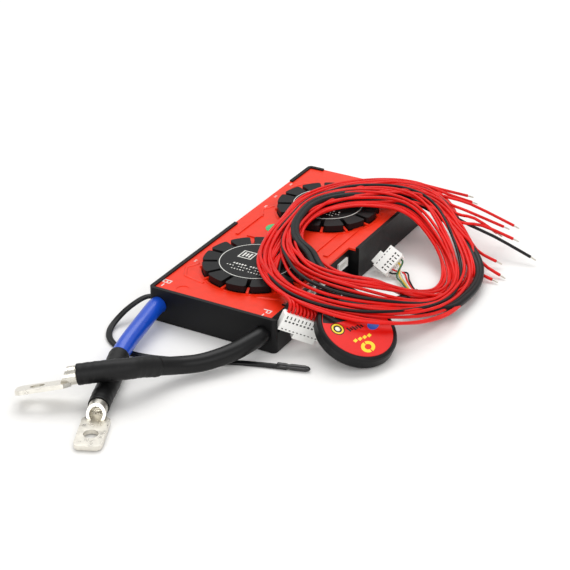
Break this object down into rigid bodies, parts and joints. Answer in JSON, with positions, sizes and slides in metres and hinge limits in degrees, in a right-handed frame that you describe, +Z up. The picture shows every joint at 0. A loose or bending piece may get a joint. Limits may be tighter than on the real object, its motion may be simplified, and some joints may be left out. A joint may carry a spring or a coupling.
{
  "type": "battery management board",
  "caption": "Battery management board in a plastic tray with an embossed metal top plate and petal covers, power cables with lugs, sensor lead, coiled cell harness and round wireless module.",
  "frame": {"origin": "middle of the tray's flat underside", "axes": "+X across the tray towards the socket channel, +Y from the cable end to the back, +Z up from the underside"},
  "size_m": [0.1981, 0.3623, 0.0364],
  "materials": {
    "case_plastic": "satin",
    "plate_red": "satin",
    "cover_black": "satin",
    "sticker_green": "gloss",
    "screw_steel": "brushed",
    "board_green": "satin",
    "chip_black": "matte",
    "bar_aluminium": "satin",
    "pad_blue": "matte",
    "copper": "satin",
    "capacitor_blue": "gloss",
    "connector_white": "satin",
    "contact_metal": "satin",
    "cable_blue": "gloss",
    "cable_black": "satin",
    "sleeve_black": "satin",
    "lug_tin": "satin",
    "wire_red": "gloss",
    "module_black": "satin",
    "label_red": "gloss",
    "lens_yellow": "gloss"
  },
  "bodies": {
    "root": {"case_tray": "case_plastic", "top_plate": "plate_red", "front_petal_cover": "cover_black", "rear_petal_cover": "cover_black", "round_sticker": "sticker_green", "plate_screws": "screw_steel", "main_board": "board_green", "left_transistors": "chip_black", "right_transistors": "chip_black", "left_heat_bar": "bar_aluminium", "right_heat_bar": "bar_aluminium", "heat_pads": "pad_blue", "current_shunts": "copper", "terminal_b": "copper", "terminal_p": "copper", "strand_b": "copper", "strand_p": "copper", "capacitors": "capacitor_blue", "control_chips": "chip_black", "balance_resistors": "chip_black", "balance_socket": "connector_white", "module_socket": "connector_white", "spare_socket": "connector_white", "sensor_socket": "connector_white", "socket_pins": "contact_metal", "cable_b": "cable_blue", "sleeve_b": "sleeve_black", "lug_b": "lug_tin", "cable_p": "cable_black", "sleeve_p": "sleeve_black", "lug_p": "lug_tin", "sensor_lead": "cable_black", "sensor_probe": "cable_black", "harness_plug": "connector_white", "harness_contacts": "contact_metal", "harness_lead": "wire_red", "harness_coil": "wire_red", "harness_tails": "wire_red", "tinned_tips": "contact_metal", "module_base": "module_black", "module_ring": "module_black", "module_label": "label_red", "module_board": "board_green", "module_lens": "lens_yellow", "module_relief": "cable_black", "module_lead": "cable_black", "module_plug_lead": "cable_black", "module_plug": "connector_white"}
  },
  "joints": []
}
